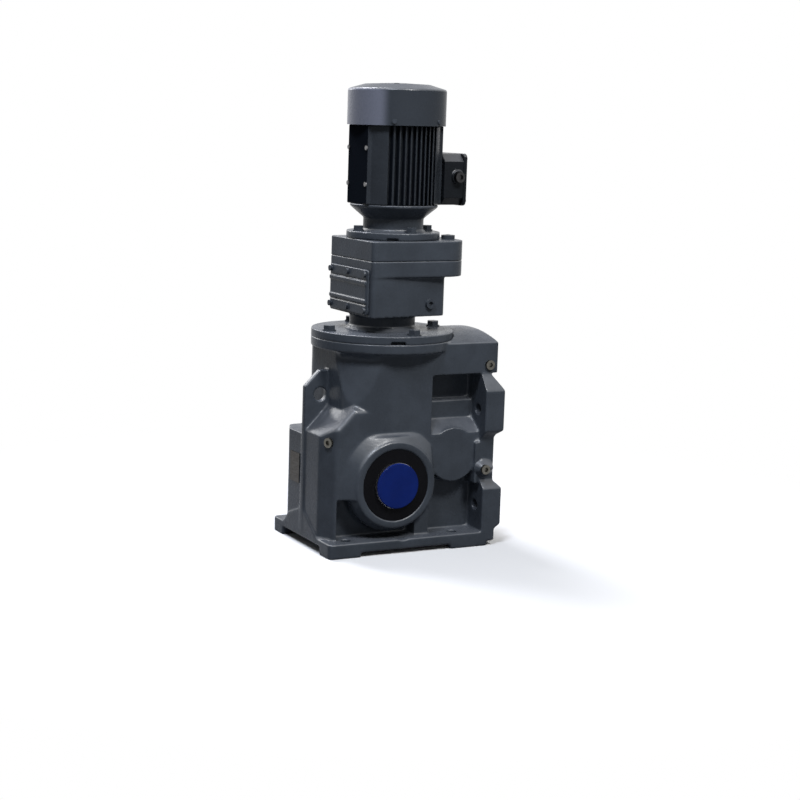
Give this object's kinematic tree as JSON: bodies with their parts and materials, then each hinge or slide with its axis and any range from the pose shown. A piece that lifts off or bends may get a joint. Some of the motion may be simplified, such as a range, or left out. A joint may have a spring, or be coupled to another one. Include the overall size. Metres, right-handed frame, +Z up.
{
  "type": "helical gear motor",
  "caption": "Right-angle gear motor on a cast foot: helical-bevel unit with keyed hollow output shaft, flanged helical pre-stage and upright finned motor with terminal box.",
  "frame": {"origin": "centre of the foot's bolt pattern on the foot plane, on the input axis", "axes": "+Z up along the input axis, +Y along the output shaft to the rear, X along the front face with the side foot towards +X"},
  "size_m": [0.3375, 0.25, 0.808],
  "materials": {
    "casting_paint": "semi-gloss blue-grey paint over cast iron",
    "motor_paint": "semi-gloss blue-grey paint over cast aluminium",
    "cover_paint": "semi-gloss blue-grey paint over pressed sheet steel",
    "box_paint": "semi-gloss blue-grey paint over cast aluminium",
    "fastener_paint": "semi-gloss blue-grey paint over steel",
    "plug_steel": "dull zinc-plated steel",
    "screw_steel": "dull zinc-plated steel",
    "plate_metal": "blank, dull",
    "seal_rubber": "black, satin",
    "bearing_steel": "ground",
    "gear_steel": "hardened and ground",
    "shaft_steel": "turned and ground",
    "core_steel": "stacked laminations",
    "winding_copper": "varnished copper",
    "fan_plastic": "moulded, matte",
    "board_plastic": "moulded, matte",
    "cap_plastic": "moulded, glossy blue"
  },
  "bodies": {
    "housing": {"main_housing": "casting_paint", "prestage_housing": "casting_paint", "prestage_cover": "casting_paint", "prestage_side_cover": "casting_paint", "motor_flange": "motor_paint", "motor_frame": "motor_paint", "rear_end_shield": "motor_paint", "fan_cover": "cover_paint", "terminal_box": "box_paint", "terminal_box_lid": "box_paint", "flange_bolts": "fastener_paint", "motor_flange_bolts": "fastener_paint", "prestage_cover_screws": "fastener_paint", "prestage_vent_plug": "fastener_paint", "intermediate_end_cap": "fastener_paint", "oil_plugs": "plug_steel", "prestage_oil_plug": "plug_steel", "cable_entry_plug": "plug_steel", "frame_pad_screws": "screw_steel", "fan_cover_screws": "screw_steel", "terminal_lid_screws": "screw_steel", "rating_plate": "plate_metal", "output_seals": "seal_rubber", "input_shaft_seal": "seal_rubber", "motor_shaft_seal": "seal_rubber", "output_bearings": "bearing_steel", "intermediate_bearings": "bearing_steel", "bevel_shaft_bearings": "bearing_steel", "prestage_output_bearings": "bearing_steel", "layshaft_bearings": "bearing_steel", "motor_bearings": "bearing_steel", "stator_core": "core_steel", "stator_windings": "winding_copper", "terminal_block": "board_plastic"},
    "motor_rotor": {"motor_shaft": "shaft_steel", "rotor_core": "core_steel", "cooling_fan": "fan_plastic", "motor_pinion": "gear_steel"},
    "layshaft": {"layshaft": "shaft_steel", "layshaft_gear": "gear_steel"},
    "prestage_output": {"prestage_output_shaft": "shaft_steel", "prestage_output_gear": "gear_steel", "input_pinion": "gear_steel"},
    "bevel_shaft": {"bevel_pinion_shaft": "shaft_steel", "input_wheel": "gear_steel"},
    "intermediate": {"intermediate_shaft": "shaft_steel", "crown_wheel": "gear_steel"},
    "output": {"hollow_shaft": "shaft_steel", "output_gear": "gear_steel", "shaft_cap": "cap_plastic"}
  },
  "joints": [
    {"name": "motor_spin", "type": "hinge", "parent": "housing", "child": "motor_rotor", "pos_m": [0.016, 0, 0.6], "axis": [0, 0, 1], "continuous": true},
    {"name": "layshaft_spin", "type": "hinge", "parent": "housing", "child": "layshaft", "pos_m": [0.058, 0, 0.48], "axis": [0, 0, 1], "continuous": true},
    {"name": "prestage_output_spin", "type": "hinge", "parent": "housing", "child": "prestage_output", "pos_m": [0, 0, 0.42], "axis": [0, 0, 1], "continuous": true},
    {"name": "bevel_shaft_spin", "type": "hinge", "parent": "housing", "child": "bevel_shaft", "pos_m": [0.098, 0, 0.26], "axis": [0, 0, 1], "continuous": true},
    {"name": "intermediate_spin", "type": "hinge", "parent": "housing", "child": "intermediate", "pos_m": [0.098, 0, 0.165], "axis": [0, 1, 0], "continuous": true},
    {"name": "output_spin", "type": "hinge", "parent": "housing", "child": "output", "pos_m": [-0.0227, 0, 0.1213], "axis": [0, 1, 0], "continuous": true}
  ],
  "couplings": [
    {"joint": "layshaft_spin", "follows": "motor_spin", "ratio": -0.38462},
    {"joint": "prestage_output_spin", "follows": "motor_spin", "ratio": 0.14245},
    {"joint": "bevel_shaft_spin", "follows": "motor_spin", "ratio": -0.084175},
    {"joint": "intermediate_spin", "follows": "motor_spin", "ratio": 0.035073},
    {"joint": "output_spin", "follows": "motor_spin", "ratio": -0.01096}
  ]
}
